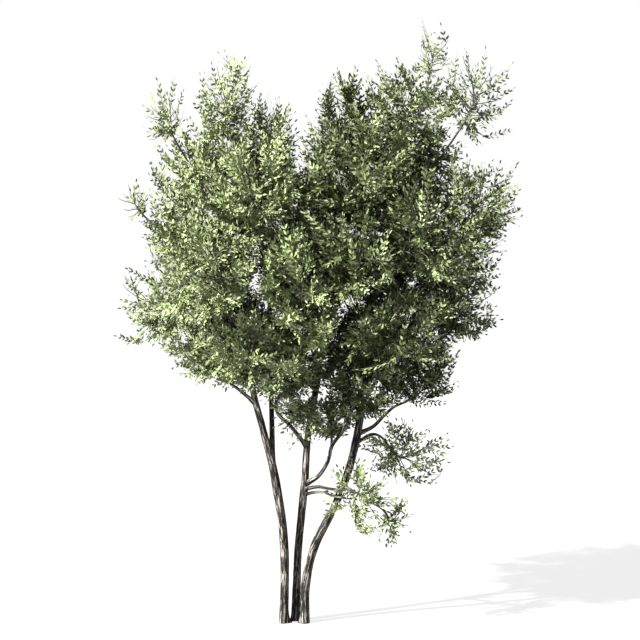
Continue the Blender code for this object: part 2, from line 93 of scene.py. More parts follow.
# Stems and branches in the masses
MASS_STEM_RADII = (0.0150, 0.0085)
MASS_STEM_STATIONS = 12
MASS_STEM_SIDES = 8
STEM_ALONG_LIMB = 0.5          # how much a mass's stem leaves along its limb
STEM_PAST_CENTRE = 0.10        # it ends past the centre by this share of the room's least reach
ENTRY_STEPS = 40               # places on the stem where its entry into the room is looked for
BRANCHES_PER_METRE = 34.0      # branches in a mass for each metre of its mean reach
BRANCHES_LEAST = 7
BRANCH_FIRST = 0.1             # share of the stem inside the room that has no branches
BRANCH_LAST = 0.98             # and the share of the whole stem where the last one leaves
BRANCH_REACH = (0.50, 0.84)    # a branch ends at this share of the way to the edge of its room
BRANCH_RADII = (0.0065, 0.0026)
BRANCH_STATIONS = 8
BRANCH_SIDES = 5
BRANCH_RISE = 0.55             # how strongly a branch turns upward
BRANCH_FOLLOW = 0.8            # shares of that by which it first runs along the stem
BRANCH_SAG = 0.3               # and downward

# Where shoots end. A curve has places and the values there. An edge place is 0 at the centre of a
# room and 1 at its edge. A heart place is 0 at the heart of the crown and about 1 at its skin.
SHOOTS_PER_CUBE = 1050         # shoots in a cubic metre of full foliage
EDGE_SHARES = ((0.35, 0.65, 1.0), (1.0, 0.8, 0.35))  # a room thins out towards its edge
EDGE_GAPS = ((0.5, 1.0), (0.0, 0.4))       # and its sprays stand farther apart there
HEART_AIR = ((0.50, 0.80), (0.0, 1.0))     # but rooms deep in the crown are full to their edges
HEART_CENTRE = (0.3, 0.1, 4.1)
HEART_REACH = (2.0, 1.5, 2.3)
HEART_SHARES = ((0.35, 0.60, 0.75, 1.00, 1.30),  # the crown is leafiest under its skin
                (0.75, 1.00, 0.85, 0.42, 0.24))
GAP_SIZES = ((0.30, 0.50), (0.0, 1.0))     # a room with a small mean reach has no gaps
SMALL_SHARES = ((0.30, 0.50), (1.8, 1.0))  # and is leafier
SEAM_SHARES = ((0.02, 0.17), (1.0, 0.40))  # a room is leafiest near a neighbour's, in metres
OPEN_SLACK = 1.0               # a room without neighbours counts as this far from one
CROWD_SEED = 10                # of the waves whose sum crowds shoots into sprays
CROWD_WAVES = 16
CROWD_PITCHES = (0.7, 1.4)     # waves for each length of a spray
SPRAY_SIZE = (0.28, 0.28, 0.50)

# Shoots
STEM_BARE = 0.6                # share of a mass's stem without shoots
SHOOT_LENGTHS = (0.12, 0.30)
SHOOT_STRETCH = (0.85, 1.05)   # how much of the way to its place a shoot really grows
EDGE_STRETCH = 0.7             # how much longer shoots are at the edge of a mass
SHOOT_LEAST = 0.06
SHOOT_MOST = 0.55
SHOOT_BEND = (0.02, 0.20)
MISFIT = 0.1                   # a root this much too near or too far costs a shoot 1
AHEAD_WORTH = 0.9              # how much a shoot prefers to run on along its branch
RISE_WORTH = 0.7               # and to rise
SHOOT_WILD = 1.2               # and how much chance there is in that
SHOOT_RADII = (0.0021, 0.0009)
SHOOT_STATIONS = 3
SHOOT_SIDES = 3
DROOPING = ("skirt_droop", "centre_hanging")  # masses whose shoots hang

# Leaves
LEAF_LENGTHS = (0.054, 0.074)
LEAF_TAPER = 0.30              # how much shorter they are at the tip of a shoot
LEAF_WIDTH = 0.40              # share of its length
LEAF_FIRST = 0.030             # the first pair on a shoot
LEAF_PITCH = 0.052             # from one pair to the next
LEAF_ANGLES = (0.55, 1.00)     # between a leaf and its shoot
LEAF_CLOSING = 0.35            # how much narrower that angle is at the tip of a shoot
LEAF_END_ANGLE = 0.1           # share of it for the leaf that ends a shoot
PLANE_OUTWARD = (0.35, 1, 0.4)  # weight of each axis, as a spray faces away from the heart
PLANE_RISE = 0.5               # and upward
PLANE_WILD = 0.8               # and how much chance there is in that
LEAF_LEAN = 0.35               # how far a leaf stands out of the plane of its spray
LEAF_WILD = 0.08               # and strays in any direction
LEAF_TWIST = 0.42              # and turns about its own length
LEAF_TRIES = 4                 # ways a leaf is tried in before it is skipped
LEAF_TIP = 0.002               # half a leaf's width at its tip
LEAF_FOLD = 0.06               # how deep the midrib lies, as a share of the length
LEAF_CURL = 0.10               # how deep the tip lies
LEAF_POINTS = (                # share of the length, share of half the width, share sunk
    (0, 0, 0), (0.32, -0.88, 0), (0.32, 0.88, 0), (0.5, 0, LEAF_FOLD),
    (0.66, -0.86, 0.02), (0.66, 0.86, 0.02), (1, 0, LEAF_CURL))
LEAF_FACES = np.array(((0, 1, 3), (0, 3, 2), (1, 4, 3), (2, 3, 5), (4, 6, 3), (3, 6, 5)))

# Colours. The leaves are dealt out over the tints, from deep to lime, by chance and by painted light
# and shade, so the deep tints partly stand in for shade and the pale ones for light.
TINTS = {
    "deep": (0.014, 0.020, 0.006),
    "dark": (0.032, 0.043, 0.014),
    "olive": (0.067, 0.087, 0.031),
    "green": (0.110, 0.139, 0.056),
    "sage": (0.148, 0.176, 0.094),
    "lime": (0.168, 0.212, 0.090),
}
PAINTED_LIGHT_BY_PART = {"left": 0.03, "centre": 0.24, "right": -0.60, "skirt": 0.05}  # painted light and shade by part of the crown: much darker on the right, paler in the centre
PAINTED_LIGHT_RISE = 0.09               # painted light: leaves get paler with each metre of height
PAINTED_HEART_SHADE = ((0.45, 1.0), (-0.7, 0.1))   # and painted shade: they are darker deep in the crown
LEAF_VARIETY = 0.28            # how far the tints of one spray's leaves differ
TWIG_COLOUR = (0.062, 0.054, 0.046)
SHOOT_COLOUR = (0.060, 0.058, 0.034)
# The darkest tones, near black, fall where the relief sinks into cracks: partly the cracks' own dark
# bark, partly painted shade.
BARK_TONES_AND_CRACK_SHADE = ((0.38, (0.0022, 0.0018, 0.0015)), (0.52, (0.014, 0.012, 0.010)),
              (0.64, (0.062, 0.055, 0.048)), (0.84, (0.250, 0.235, 0.215)))
BARK_PATCHES = ((0.38, (0.72, 0.70, 0.68)), (0.62, (1.0, 0.97, 0.93)))
BARK_STRETCH = (1.0, 1.0, 0.09)  # streaks and fibres are long along the limb, its third axis
STREAK_RANGE = (0.42, 0.58)    # of their noise, stretched to the whole range
STREAK_SHARE = 0.62            # in the plates that the colour shows, beside the mesh's relief
FIBRE_SHARE = 0.20             # and the fibres' share over those plates

# Studio
SUN_FROM = (-0.80, -0.42, 0.60)  # the way towards the sun
SUN_STRENGTH = 24.0
SUN_DEGREES = 1.2              # how wide the sun looks
SUN_COLOUR = (1.0, 0.985, 0.95)
SKY_TONES = ((0.28, (1.0, 1.0, 1.0)), (0.38, (0.22, 0.23, 0.25)))  # by a direction's height
FLOOR_REACH = 60.0
FLOOR_HEIGHT = -0.001          # just under the feet of the stems
FLOOR_TONES = ((0.3, (0.04, 0.04, 0.04)), (0.7, (0.05, 0.05, 0.05)))
FLOOR_GLOW = 0.82              # most of the floor's white is its own, so that shadows stay pale
CAMERA_PLACE = (0.2695, -13.0, 3.3)
CAMERA_LENS = 66.48
CAMERA_SENSOR = 36.0

# Limbs. Each has the limb that it leaves, the height where it leaves it, its radius there,
# and the stations (x, y, z, radius) that its centreline passes. A stem starts at the ground.
LIMBS = {
    "stem_left": (None, 0.0, 0.0, (
        (-0.128, -0.10, 0.00, 0.055), (-0.118, -0.10, 0.35, 0.049), (-0.116, -0.10, 0.75, 0.048),
        (-0.218, -0.11, 1.56, 0.047), (-0.432, -0.12, 2.41, 0.036), (-0.610, -0.08, 3.20, 0.030),
        (-0.745, -0.02, 4.20, 0.022), (-0.800, 0.00, 5.32, 0.012))),
    "stem_middle": (None, 0.0, 0.0, (
        (0.000, 0.00, 0.00, 0.048), (0.012, 0.00, 0.35, 0.045), (0.025, 0.00, 0.72, 0.044),
        (0.100, 0.01, 1.49, 0.043), (0.143, 0.03, 2.08, 0.036), (0.245, 0.05, 2.68, 0.036),
        (0.265, 0.06, 3.15, 0.029), (0.300, 0.04, 4.00, 0.022), (0.450, 0.00, 5.25, 0.012))),
    "stem_right": (None, 0.0, 0.0, (
        (0.112, -0.11, 0.00, 0.051), (0.108, -0.11, 0.35, 0.048), (0.220, -0.13, 0.86, 0.047),
        (0.424, -0.16, 1.27, 0.044), (0.584, -0.16, 1.68, 0.042), (0.700, -0.15, 2.19, 0.044),
        (0.750, -0.10, 2.80, 0.034), (0.860, -0.04, 3.58, 0.028), (1.060, 0.00, 4.35, 0.021),
        (1.150, 0.00, 5.32, 0.012))),
    "fork_left": ("stem_left", 1.72, 0.034, (
        (-0.256, -0.06, 2.10, 0.029), (-0.270, 0.00, 2.60, 0.027), (-0.280, 0.04, 3.10, 0.024),
        (-0.300, 0.10, 3.96, 0.018), (-0.280, 0.10, 4.95, 0.011))),
    "bough_low_left": ("stem_left", 2.38, 0.024, (
        (-0.560, -0.13, 2.50, 0.019), (-0.700, -0.12, 2.60, 0.016), (-0.860, -0.09, 2.66, 0.013))),
    "bough_lobe": ("stem_left", 2.85, 0.021, (
        (-0.850, -0.08, 3.15, 0.017), (-1.230, -0.04, 3.42, 0.012))),
    "bough_left": ("stem_left", 3.50, 0.020, (
        (-0.880, -0.03, 3.86, 0.017), (-1.120, 0.00, 4.15, 0.012))),
    "bough_front_left": ("stem_left", 2.95, 0.022, (
        (-0.660, -0.32, 3.22, 0.018), (-0.760, -0.58, 3.54, 0.012))),
    "bough_back_left": ("fork_left", 2.75, 0.021, (
        (-0.460, 0.30, 3.10, 0.017), (-0.720, 0.58, 3.52, 0.012))),
    "bough_loop": ("stem_middle", 1.90, 0.026, (
        (-0.060, -0.16, 2.16, 0.021), (-0.200, -0.22, 2.32, 0.019), (-0.205, -0.22, 2.42, 0.018),
        (-0.110, -0.20, 2.53, 0.014))),
    "bough_rise": ("stem_middle", 1.49, 0.028, (
        (0.250, -0.04, 1.59, 0.023), (0.350, -0.10, 1.75, 0.021), (0.400, -0.15, 1.93, 0.020),
        (0.505, -0.25, 2.09, 0.018), (0.590, -0.31, 2.27, 0.014))),
    "bough_level": ("stem_middle", 1.44, 0.023, (
        (0.250, -0.14, 1.485, 0.019), (0.440, -0.29, 1.480, 0.015), (0.540, -0.34, 1.500, 0.012))),
    "bough_droop": ("stem_middle", 1.38, 0.018, (
        (0.260, -0.11, 1.425, 0.015), (0.470, -0.30, 1.395, 0.012), (0.670, -0.30, 1.370, 0.011),
        (0.860, -0.26, 1.310, 0.009), (0.950, -0.24, 1.250, 0.008))),
    "bough_dark": ("stem_right", 2.06, 0.024, (
        (0.860, -0.13, 2.15, 0.020), (0.960, -0.12, 2.25, 0.018), (1.080, -0.09, 2.35, 0.015),
        (1.200, -0.05, 2.40, 0.012))),
    "bough_fan": ("stem_right", 1.96, 0.019, (
        (0.870, -0.18, 2.06, 0.015), (0.960, -0.20, 2.01, 0.012), (1.000, -0.19, 1.95, 0.010))),
    "bough_front_right": ("stem_right", 2.36, 0.024, (
        (0.850, -0.38, 2.62, 0.019), (0.980, -0.60, 2.96, 0.013))),
    "bough_back_right": ("stem_right", 2.75, 0.024, (
        (0.950, 0.25, 3.15, 0.019), (1.130, 0.62, 3.55, 0.013))),
    "bough_reach": ("stem_right", 2.55, 0.024, (
        (1.060, -0.06, 2.98, 0.019), (1.330, -0.03, 3.26, 0.015), (1.570, -0.01, 3.35, 0.012))),
    "bough_high": ("stem_right", 4.20, 0.020, (
        (1.270, 0.01, 4.62, 0.016), (1.450, 0.01, 4.98, 0.012))),
}

# Masses of foliage. Each has the limb that it grows from, the height where it leaves it (TIP is
# the limb's end), its centre (x, y, z) and its reach (x, y, z) to each side of that centre.
TIP = None
MASSES = {
    "left_top": ("stem_left", TIP, (-0.74, -0.18, 5.56), (0.36, 0.62, 0.66)),
    "left_top_inner": ("fork_left", TIP, (-0.40, 0.28, 5.26), (0.46, 0.64, 0.62)),
    "left_spray": ("stem_left", 4.35, (-1.40, -0.12, 5.50), (0.27, 0.32, 0.47)),
    "left_shoulder": ("stem_left", 4.05, (-1.06, 0.22, 5.02), (0.51, 0.74, 0.70)),
    "left_upper_front": ("stem_left", 3.72, (-0.50, -0.62, 4.60), (0.74, 0.76, 0.76)),
    "left_upper_back": ("fork_left", 3.85, (-0.58, 0.70, 4.78), (0.74, 0.78, 0.76)),
    "left_flank": ("bough_left", TIP, (-1.18, -0.22, 4.46), (0.52, 0.78, 0.70)),
    "left_outlier": ("bough_left", 3.95, (-1.74, -0.20, 4.58), (0.24, 0.28, 0.30)),
    "left_lobe": ("bough_lobe", TIP, (-1.52, 0.20, 3.44), (0.55, 0.78, 0.50)),
    "left_front": ("bough_front_left", TIP, (-0.85, -0.80, 3.88), (0.78, 0.80, 0.82)),
    "left_back": ("bough_back_left", TIP, (-0.97, 0.90, 3.95), (0.82, 0.86, 0.86)),
    "left_low": ("bough_low_left", TIP, (-0.93, -0.16, 3.17), (0.58, 0.84, 0.61)),
    "left_low_front": ("stem_left", 2.66, (-0.42, -0.72, 3.12), (0.70, 0.74, 0.64)),
    "left_low_back": ("fork_left", 2.50, (-0.55, 0.75, 3.18), (0.86, 0.80, 0.76)),
    "centre_upper": ("fork_left", 3.60, (0.04, -0.08, 4.32), (0.64, 0.78, 0.70)),
    "centre_back": ("stem_middle", 3.25, (0.10, 0.86, 3.92), (0.88, 0.86, 1.06)),
    "centre_front": ("stem_middle", 2.90, (0.06, -0.78, 3.66), (0.76, 0.78, 0.86)),
    "centre_low": ("bough_loop", TIP, (-0.02, -0.12, 2.84), (0.60, 0.74, 0.58)),
    "centre_hanging": ("stem_middle", 2.40, (0.06, -0.30, 2.28), (0.36, 0.41, 0.41)),
    "right_top_inner": ("stem_middle", TIP, (0.62, 0.20, 5.46), (0.44, 0.68, 0.68)),
    "right_top": ("stem_right", TIP, (1.24, -0.16, 5.56), (0.56, 0.72, 0.62)),
    "right_spire": ("stem_right", 4.70, (1.50, -0.06, 6.18), (0.24, 0.28, 0.46)),
    "right_horn": ("bough_high", 4.62, (1.99, 0.14, 5.80), (0.48, 0.48, 0.60)),
    "right_shoulder": ("bough_high", TIP, (1.46, 0.20, 5.20), (0.46, 0.74, 0.56)),
    "right_upper_front": ("stem_middle", 4.00, (0.66, -0.64, 4.75), (0.74, 0.80, 0.80)),
    "right_upper_back": ("stem_right", 4.05, (1.00, 0.80, 4.85), (0.82, 0.84, 0.82)),
    "right_flank": ("stem_right", 3.80, (1.96, -0.20, 4.56), (0.55, 0.74, 0.54)),
    "right_side": ("stem_right", 3.30, (1.80, 0.20, 4.04), (0.54, 0.82, 0.56)),
    "right_reach": ("bough_reach", TIP, (1.72, -0.20, 3.46), (0.53, 0.74, 0.46)),
    "right_front": ("stem_right", 3.50, (1.34, -0.80, 4.22), (0.76, 0.82, 0.80)),
    "right_front_inner": ("stem_middle", 3.35, (0.64, -0.88, 3.92), (0.74, 0.76, 0.80)),
    "right_back": ("bough_back_right", TIP, (1.26, 1.00, 3.95), (0.88, 0.86, 0.88)),
    "right_low_front": ("bough_front_right", TIP, (1.05, -0.78, 3.30), (0.76, 0.76, 0.68)),
    "right_low_back": ("stem_right", 2.45, (1.00, 0.78, 3.18), (0.90, 0.80, 0.80)),
    "right_low": ("bough_dark", TIP, (1.38, 0.20, 2.78), (0.48, 0.68, 0.48)),
    "right_low_inner": ("bough_rise", TIP, (0.72, -0.34, 2.68), (0.56, 0.58, 0.52)),
    "fork_tuft": ("bough_rise", 1.90, (0.40, 0.12, 2.28), (0.34, 0.38, 0.34)),
    "skirt_fan": ("bough_fan", TIP, (1.16, -0.17, 1.84), (0.66, 0.46, 0.42)),
    "skirt_level": ("bough_level", TIP, (0.74, -0.36, 1.43), (0.56, 0.40, 0.48)),
    "skirt_droop": ("bough_droop", TIP, (1.05, -0.22, 1.14), (0.25, 0.26, 0.36)),
}


# ---------------------------------------------------------------- paths

def unit(vectors):
    return vectors / np.linalg.norm(vectors, axis=-1, keepdims=True)


def smooth_route(stations):
    """Points (x, y, z, radius) on a smooth curve through the stations, close together low down."""
    stations = np.asarray(stations, float)
    chords = np.linalg.norm(np.diff(stations[:, :3], axis=0), axis=1)
    weights = chords[:, None]
    slopes = np.diff(stations, axis=0) / weights
    inner = (slopes[:-1] * weights[1:] + slopes[1:] * weights[:-1]) / (weights[:-1] + weights[1:])
    slopes = np.vstack([slopes[:1], inner, slopes[-1:]])
    fine = [stations[0]]
    for i, chord in enumerate(chords):
        for t in np.linspace(0, 1, ROUTE_STEPS + 1)[1:]:
            rise = t * t * (3 - 2 * t)
            leave = t * (1 - t) ** 2 * chord
            arrive = t * t * (t - 1) * chord
            fine.append(stations[i] * (1 - rise) + stations[i + 1] * rise
                        + slopes[i] * leave + slopes[i + 1] * arrive)
    fine = np.array(fine)
    gaps = np.linalg.norm(np.diff(fine[:, :3], axis=0), axis=1)
    rings = gaps / np.interp(fine[1:, 2], RING_HEIGHTS, RING_STEPS)
    count = np.concatenate([[0], np.cumsum(rings)])
    marks = np.linspace(0, count[-1], max(RINGS_LEAST, round(count[-1]) + 1))
    return np.column_stack([np.interp(marks, count, fine[:, k]) for k in range(4)])


def arc(start, leave, end, arrive, radii, count):
    """A curve from start to end that leaves and arrives along the given directions."""
    length = np.linalg.norm(end - start)
    t = np.linspace(0, 1, count)[:, None]
    rise = t * t * (3 - 2 * t)
    points = (start * (1 - rise) + end * rise
              + leave * length * t * (1 - t) ** 2 + arrive * length * t * t * (t - 1))
    return np.column_stack([points, np.linspace(*radii, count)])


def at_height(route, height):
    """The point of a rising route at a height, or its end for TIP, and the direction there."""
    if height is TIP:
        return route[-1, :3], unit(route[-1, :3] - route[-2, :3])
    i = int(np.argmax(route[1:, 2] > height))
    share = (height - route[i, 2]) / (route[i + 1, 2] - route[i, 2])
    point = route[i, :3] + share * (route[i + 1, :3] - route[i, :3])
    return point, unit(route[i + 1, :3] - route[i, :3])


def run_along(route):
    """How far each point of a route lies from its start, measured along it."""
    return np.concatenate([[0], np.cumsum(np.linalg.norm(np.diff(route[:, :3], axis=0), axis=1))])


def limb_routes():
    routes = {}
    for name, (parent, height, radius, stations) in LIMBS.items():
        if parent:
            root = at_height(routes[parent], height)[0]
            stations = ((*root, radius), *stations)
        routes[name] = smooth_route(stations)
    return routes


# ---------------------------------------------------------------- meshes

def piece(name, points, faces, material, stands_for, slot):
    """A mesh from an array of points and arrays of faces. It rides on the tree's one body."""
    corners = np.concatenate([group.ravel() for group in faces])
    sizes = np.concatenate([np.full(len(group), group.shape[1]) for group in faces])
    mesh = bpy.data.meshes.new(name)
    mesh.vertices.add(len(points))
    mesh.vertices.foreach_set("co", points.astype(np.float32).ravel())
    mesh.loops.add(len(corners))
    mesh.loops.foreach_set("vertex_index", corners.astype(np.int32))
    mesh.polygons.add(len(sizes))
    mesh.polygons.foreach_set("loop_start", (np.cumsum(sizes) - sizes).astype(np.int32))
    mesh.update(calc_edges=True)
    mesh.validate()
    mesh.shade_smooth()
    mesh.materials.append(material)
    obj = bpy.data.objects.new(name, mesh)
    bpy.context.scene.collection.objects.link(obj)
    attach(obj, "root")
    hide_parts(*stands_for)
    return obj


def note_on_points(obj, name, kind, values):
    """An attribute of an object's points, for its material."""
    field = "vector" if kind == "FLOAT_VECTOR" else "value"
    attribute = obj.data.attributes.new(name, kind, "POINT")
    attribute.data.foreach_set(field, values.astype(np.float32).ravel())


def rings_to_faces(tubes, stations, sides):
    """Quads between the rings of closed tubes, and the caps at their ends."""
    vertex = np.arange(tubes * stations * sides).reshape(tubes, stations, sides)
    after = np.roll(vertex, -1, axis=2)
    walls = np.stack([vertex[:, :-1], after[:, :-1], after[:, 1:], vertex[:, 1:]], axis=-1)
    caps = np.concatenate([vertex[:, 0, ::-1], vertex[:, -1]])
    return [walls.reshape(-1, 4), caps]


def thin_tubes(routes, sides):
    """Points and faces of closed tubes round many routes (tube, station, x y z radius)."""
    places, radii = routes[..., :3], routes[..., 3]
    along = unit(np.gradient(places, axis=1))
    chord = places[:, -1] - places[:, 0]
    steep = np.abs(unit(chord)[:, 2:]) >= STEEP
    helper = np.where(steep, SIDEWAYS, UPWARD)[:, None]
    across = unit(helper - (helper * along).sum(-1, keepdims=True) * along)
    beside = np.cross(along, across)
    angles = 2 * np.pi * np.arange(sides) / sides
    spokes = (across[:, :, None] * np.cos(angles)[:, None]
              + beside[:, :, None] * np.sin(angles)[:, None])
    points = places[:, :, None] + spokes * radii[..., None, None]
    return points.reshape(-1, 3), rings_to_faces(*routes.shape[:2], sides)


def joined(parts):
    """One array of points and lists of faces from several (points, faces)."""
    points = np.concatenate([part[0] for part in parts])
    starts = np.cumsum([0] + [len(part[0]) for part in parts[:-1]])
    faces = [group + start for (_, groups), start in zip(parts, starts) for group in groups]
    return points, faces


# ---------------------------------------------------------------- bark

def lattice_noise(across, along, columns, dice):
    """Smooth noise from 0 to 1 that repeats every `columns` cells across."""
    grid = dice.random((int(along.max()) + 3, columns))
    i, j = np.floor(across).astype(int), np.floor(along).astype(int)
    s, t = across - i, along - j
    s, t = s * s * (3 - 2 * s), t * t * (3 - 2 * t)
    i, after = i % columns, (i + 1) % columns
    low = grid[j, i] * (1 - s) + grid[j, after] * s
    high = grid[j + 1, i] * (1 - s) + grid[j + 1, after] * s
    return low * (1 - t) + high * t


def bark_height(turns, run, radius, dice):
    """Height of the bark, from 0 in a crack to 1 on a plate, by share of a turn and run along."""
    columns = max(RIDGES_LEAST, round(2 * np.pi * radius / RIDGE_WIDTH))
    sway = SWAY * lattice_noise(turns * SWAY_CELLS, run / SWAY_LENGTH, SWAY_CELLS, dice)
    height = 0
    for octave, share in RIDGE_OCTAVES:
        cells = columns * octave
        across, along = turns * cells + sway * octave, run * octave / RIDGE_LENGTH
        waves = lattice_noise(across, along, cells, dice)
        height = height + share * np.abs(2 * waves - 1) ** RIDGE_SHARPNESS
    return height


def toes(name):
    """The directions in which the foot of a stem flares: towards the stems beside it."""
    if LIMBS[name][0]:
        return []
    foot = LIMBS[name][3][0]
    found = []
    for other, (parent, _, _, stations) in LIMBS.items():
        way = (stations[0][0] - foot[0], stations[0][1] - foot[1])
        if other != name and not parent and math.hypot(*way) < TOE_SPAN:
            found.append(math.atan2(way[1], way[0]))
    return found


def limb_surface(name, route, dice):
    """Points, faces, straightened places and bark heights of a limb."""
    is_bough = bool(LIMBS[name][0])
    sides = max(SIDES_LEAST, round(2 * np.pi * route[0, 3] / SIDE_WIDTH))
    turns = np.tile(np.arange(sides) / sides, (len(route), 1))
    run = run_along(route)
    runs = np.tile(run[:, None], sides)
    own_radii = route[:, 3, None]

    height = bark_height(turns, runs, own_radii.mean(), dice)
    lumps = lattice_noise(turns * LUMP_CELLS, runs / LUMP_LENGTH, LUMP_CELLS, dice)
    depth = BARK_DEPTH * np.clip(own_radii / FULL_DEPTH_RADIUS, DEPTH_LEAST, 1)
    radii = own_radii * (1 + LUMP_SHARE * (2 * lumps - 1)) + depth * (height - BARK_MIDDLE)
    if is_bough:
        radii += own_radii * COLLAR_SHARE * np.exp(-run / COLLAR_LENGTH)[:, None]
    for toe in toes(name):
        lobe = np.clip(np.cos(2 * np.pi * turns - toe), 0, 1) ** TOE_POWER
        radii += TOE_REACH * lobe * np.exp(-route[:, 2, None] / TOE_HEIGHT)

    along = np.gradient(route[:, :3], axis=0)
    if not is_bough:
        along[0] = UPWARD
    across = SIDEWAYS
    if abs(unit(along[0])[0]) > STEEP:
        across = np.array((0.0, 1.0, 0.0))
    points = np.empty((len(route), sides, 3))
    angles = 2 * np.pi * np.arange(sides) / sides
    for i, direction in enumerate(unit(along)):
        across = unit(across - (across @ direction) * direction)
        beside = np.cross(direction, across)
        spokes = np.outer(np.cos(angles), across) + np.outer(np.sin(angles), beside)
        points[i] = route[i, :3] + spokes * radii[i, :, None]
    straight = np.stack([radii * np.cos(angles), radii * np.sin(angles), runs], axis=-1)
    faces = rings_to_faces(1, len(route), sides)
    return points.reshape(-1, 3), faces, straight, height


def dress_limbs(routes):
    bark = bark_material()
    for index, (name, route) in enumerate(routes.items()):
        dice = np.random.default_rng(SEED + index)
        points, faces, straight, height = limb_surface(name, route, dice)
        points[:, 2] = points[:, 2].clip(0)
        obj = piece("bark_" + name, points, faces, bark, [name], "bark")
        note_on_points(obj, "straight", "FLOAT_VECTOR", straight)
        note_on_points(obj, "relief", "FLOAT", height)


# ---------------------------------------------------------------- rooms

def segments_of(route, stride=1):
    """Rows of two ends, each (x, y, z, radius), along a route."""
    marks = np.vstack([route[:-1:stride], route[-1:]])
    return np.hstack([marks[:-1], marks[1:]])


def clear_of(points, radius, segments):
    """For each point, whether a ball there stays CLEAR of the tapering tubes round the segments."""
    start, way = segments[:, :3], segments[:, 4:7] - segments[:, :3]
    share = np.einsum("psk,sk->ps", points[:, None] - start, way) / (way ** 2).sum(axis=1)
    share = share.clip(0, 1)
    gap = np.linalg.norm(points[:, None] - (start + share[..., None] * way), axis=2)
    gap -= segments[:, 3] * (1 - share) + segments[:, 7] * share
    return gap.min(axis=1) > radius + CLEAR


class Space:
    """The room of one mass: a blunt ellipsoid, cut flat where it meets a neighbour's."""

    def __init__(self, name):
        self.centre, self.reach = (np.array(value) for value in MASSES[name][2:])
        normals = []
        offsets = []
        for other in MASSES:
            if other == name:
                continue
            centre, reach = (np.array(value) for value in MASSES[other][2:])
            across = centre - self.centre
            if (np.abs(across) > self.reach + reach).any():
                continue
            distance = np.linalg.norm(across)
            normal = across / distance
            mine = 1 / np.linalg.norm(normal / self.reach)
            theirs = 1 / np.linalg.norm(normal / reach)
            ends = (MEET_LEAST * distance, (1 - MEET_LEAST) * distance)
            share = np.clip((distance + mine - theirs) / 2, *ends)
            normals.append(normal)
            offsets.append(normal @ self.centre + share - CLEAR / 2)
        self.normals = np.array(normals).reshape(-1, 3)
        self.offsets = np.array(offsets)

    def edge(self, points):
        """0 at the room's centre and 1 at its edge."""
        return (np.abs((points - self.centre) / self.reach) ** BLUNTNESS).sum(axis=-1)

    def slack(self, points):
        """For each point, how far it lies behind each plane where a neighbour's room begins."""
        return self.offsets - points @ self.normals.T

    def holds(self, points):
        """For each point, whether it lies in the room."""
        return (self.edge(points) <= 1) & (self.slack(points) >= 0).all(axis=-1)

    def depth(self, direction):
        """How far the room goes from its centre in a direction."""
        low, high = 0.0, DEPTH_MOST * self.reach.max()
        for _ in range(DEPTH_STEPS):
            middle = (low + high) / 2
            if self.edge(self.centre + direction * middle) <= 1:
                low = middle
            else:
                high = middle
        depth = low
        for speed, slack in zip(self.normals @ direction, self.slack(self.centre)):
            if speed > TINY:
                depth = min(depth, max(slack / speed, 0))
        return depth


def near(space, segments):
    """The segments that come near a mass's room, or one if none does."""
    middle = (segments[:, :3] + segments[:, 4:7]) / 2
    size = np.linalg.norm(segments[:, 4:7] - segments[:, :3], axis=1)
    distance = np.linalg.norm(middle - space.centre, axis=1)
    found = segments[distance < space.reach.max() + size / 2 + NEAR_LIMB]
    return found if len(found) else segments[:1]


# ---------------------------------------------------------------- branches

def mass_stems(routes):
    """The route of the one stem that carries each mass, from its limb to its centre."""
    stems = {}
    for name, (limb, height, centre, reach) in MASSES.items():
        start, facing = at_height(routes[limb], height)
        way = unit(np.array(centre) - start)
        leave = facing if height is TIP else unit(way + STEM_ALONG_LIMB * facing)
        end = np.array(centre) + way * min(reach) * STEM_PAST_CENTRE
        arrive = unit(way + UPWARD)
        stems[name] = arc(start, leave, end, arrive, MASS_STEM_RADII, MASS_STEM_STATIONS)
    return stems


def stem_point(stem, place):
    """The point at a share of a stem's stations."""
    marks = np.linspace(0, 1, len(stem))
    return np.array([np.interp(place, marks, stem[:, k]) for k in range(3)])


def grow_branches(space, stem, dice, blocked):
    """Branches from the stem of a mass towards points spread evenly round its centre."""
    count = max(BRANCHES_LEAST, round(BRANCHES_PER_METRE * space.reach.mean()))
    turn = dice.uniform(0, 2 * np.pi)
    way = unit(stem[-1, :3] - stem[-2, :3])
    shares = np.linspace(0, 1, ENTRY_STEPS + 1)
    entry = next(share for share in shares if space.holds(stem_point(stem, share)))
    branches = []
    for k in range(count):
        height = 1 - (2 * k + 1) / count
        angle = turn + k * GOLDEN_ANGLE
        flat = math.sqrt(1 - height * height)
        direction = np.array((flat * math.cos(angle), flat * math.sin(angle), height))
        reach = space.depth(direction) * dice.uniform(*BRANCH_REACH)
        end = space.centre + direction * reach
        forward = (1 + direction @ way) / 2
        place = BRANCH_FIRST + (1 - BRANCH_FIRST) * forward
        start = stem_point(stem, entry + (BRANCH_LAST - entry) * place)
        ahead = unit(end - start)
        for rise in (BRANCH_RISE, 0.0):
            leave = unit(ahead + BRANCH_FOLLOW * rise * way - BRANCH_SAG * rise * UPWARD)
            arrive = unit(ahead + rise * UPWARD)
            branch = arc(start, leave, end, arrive, BRANCH_RADII, BRANCH_STATIONS)
            inside = space.holds(branch[1:, :3]).all()
            if inside and clear_of(branch[:, :3], BRANCH_RADII[0], blocked).all():
                branches.append(branch)
                break
    return np.array(branches)


# ---------------------------------------------------------------- shoots

def crowding(points):
    """Smooth noise about 0 in space: above it shoots crowd into sprays, below it they leave gaps."""
    dice = np.random.default_rng(CROWD_SEED)
    ways = unit(dice.normal(size=(CROWD_WAVES, 3)))
    waves = 2 * np.pi * ways * dice.uniform(*CROWD_PITCHES, (CROWD_WAVES, 1)) / SPRAY_SIZE
    phases = dice.uniform(0, 2 * np.pi, CROWD_WAVES)
    return np.cos(points @ waves.T + phases).sum(axis=-1) / math.sqrt(CROWD_WAVES / 2)


def from_heart(points):
    """0 at the heart of the crown and about 1 at its skin."""
    return np.linalg.norm((points - HEART_CENTRE) / HEART_REACH, axis=-1)


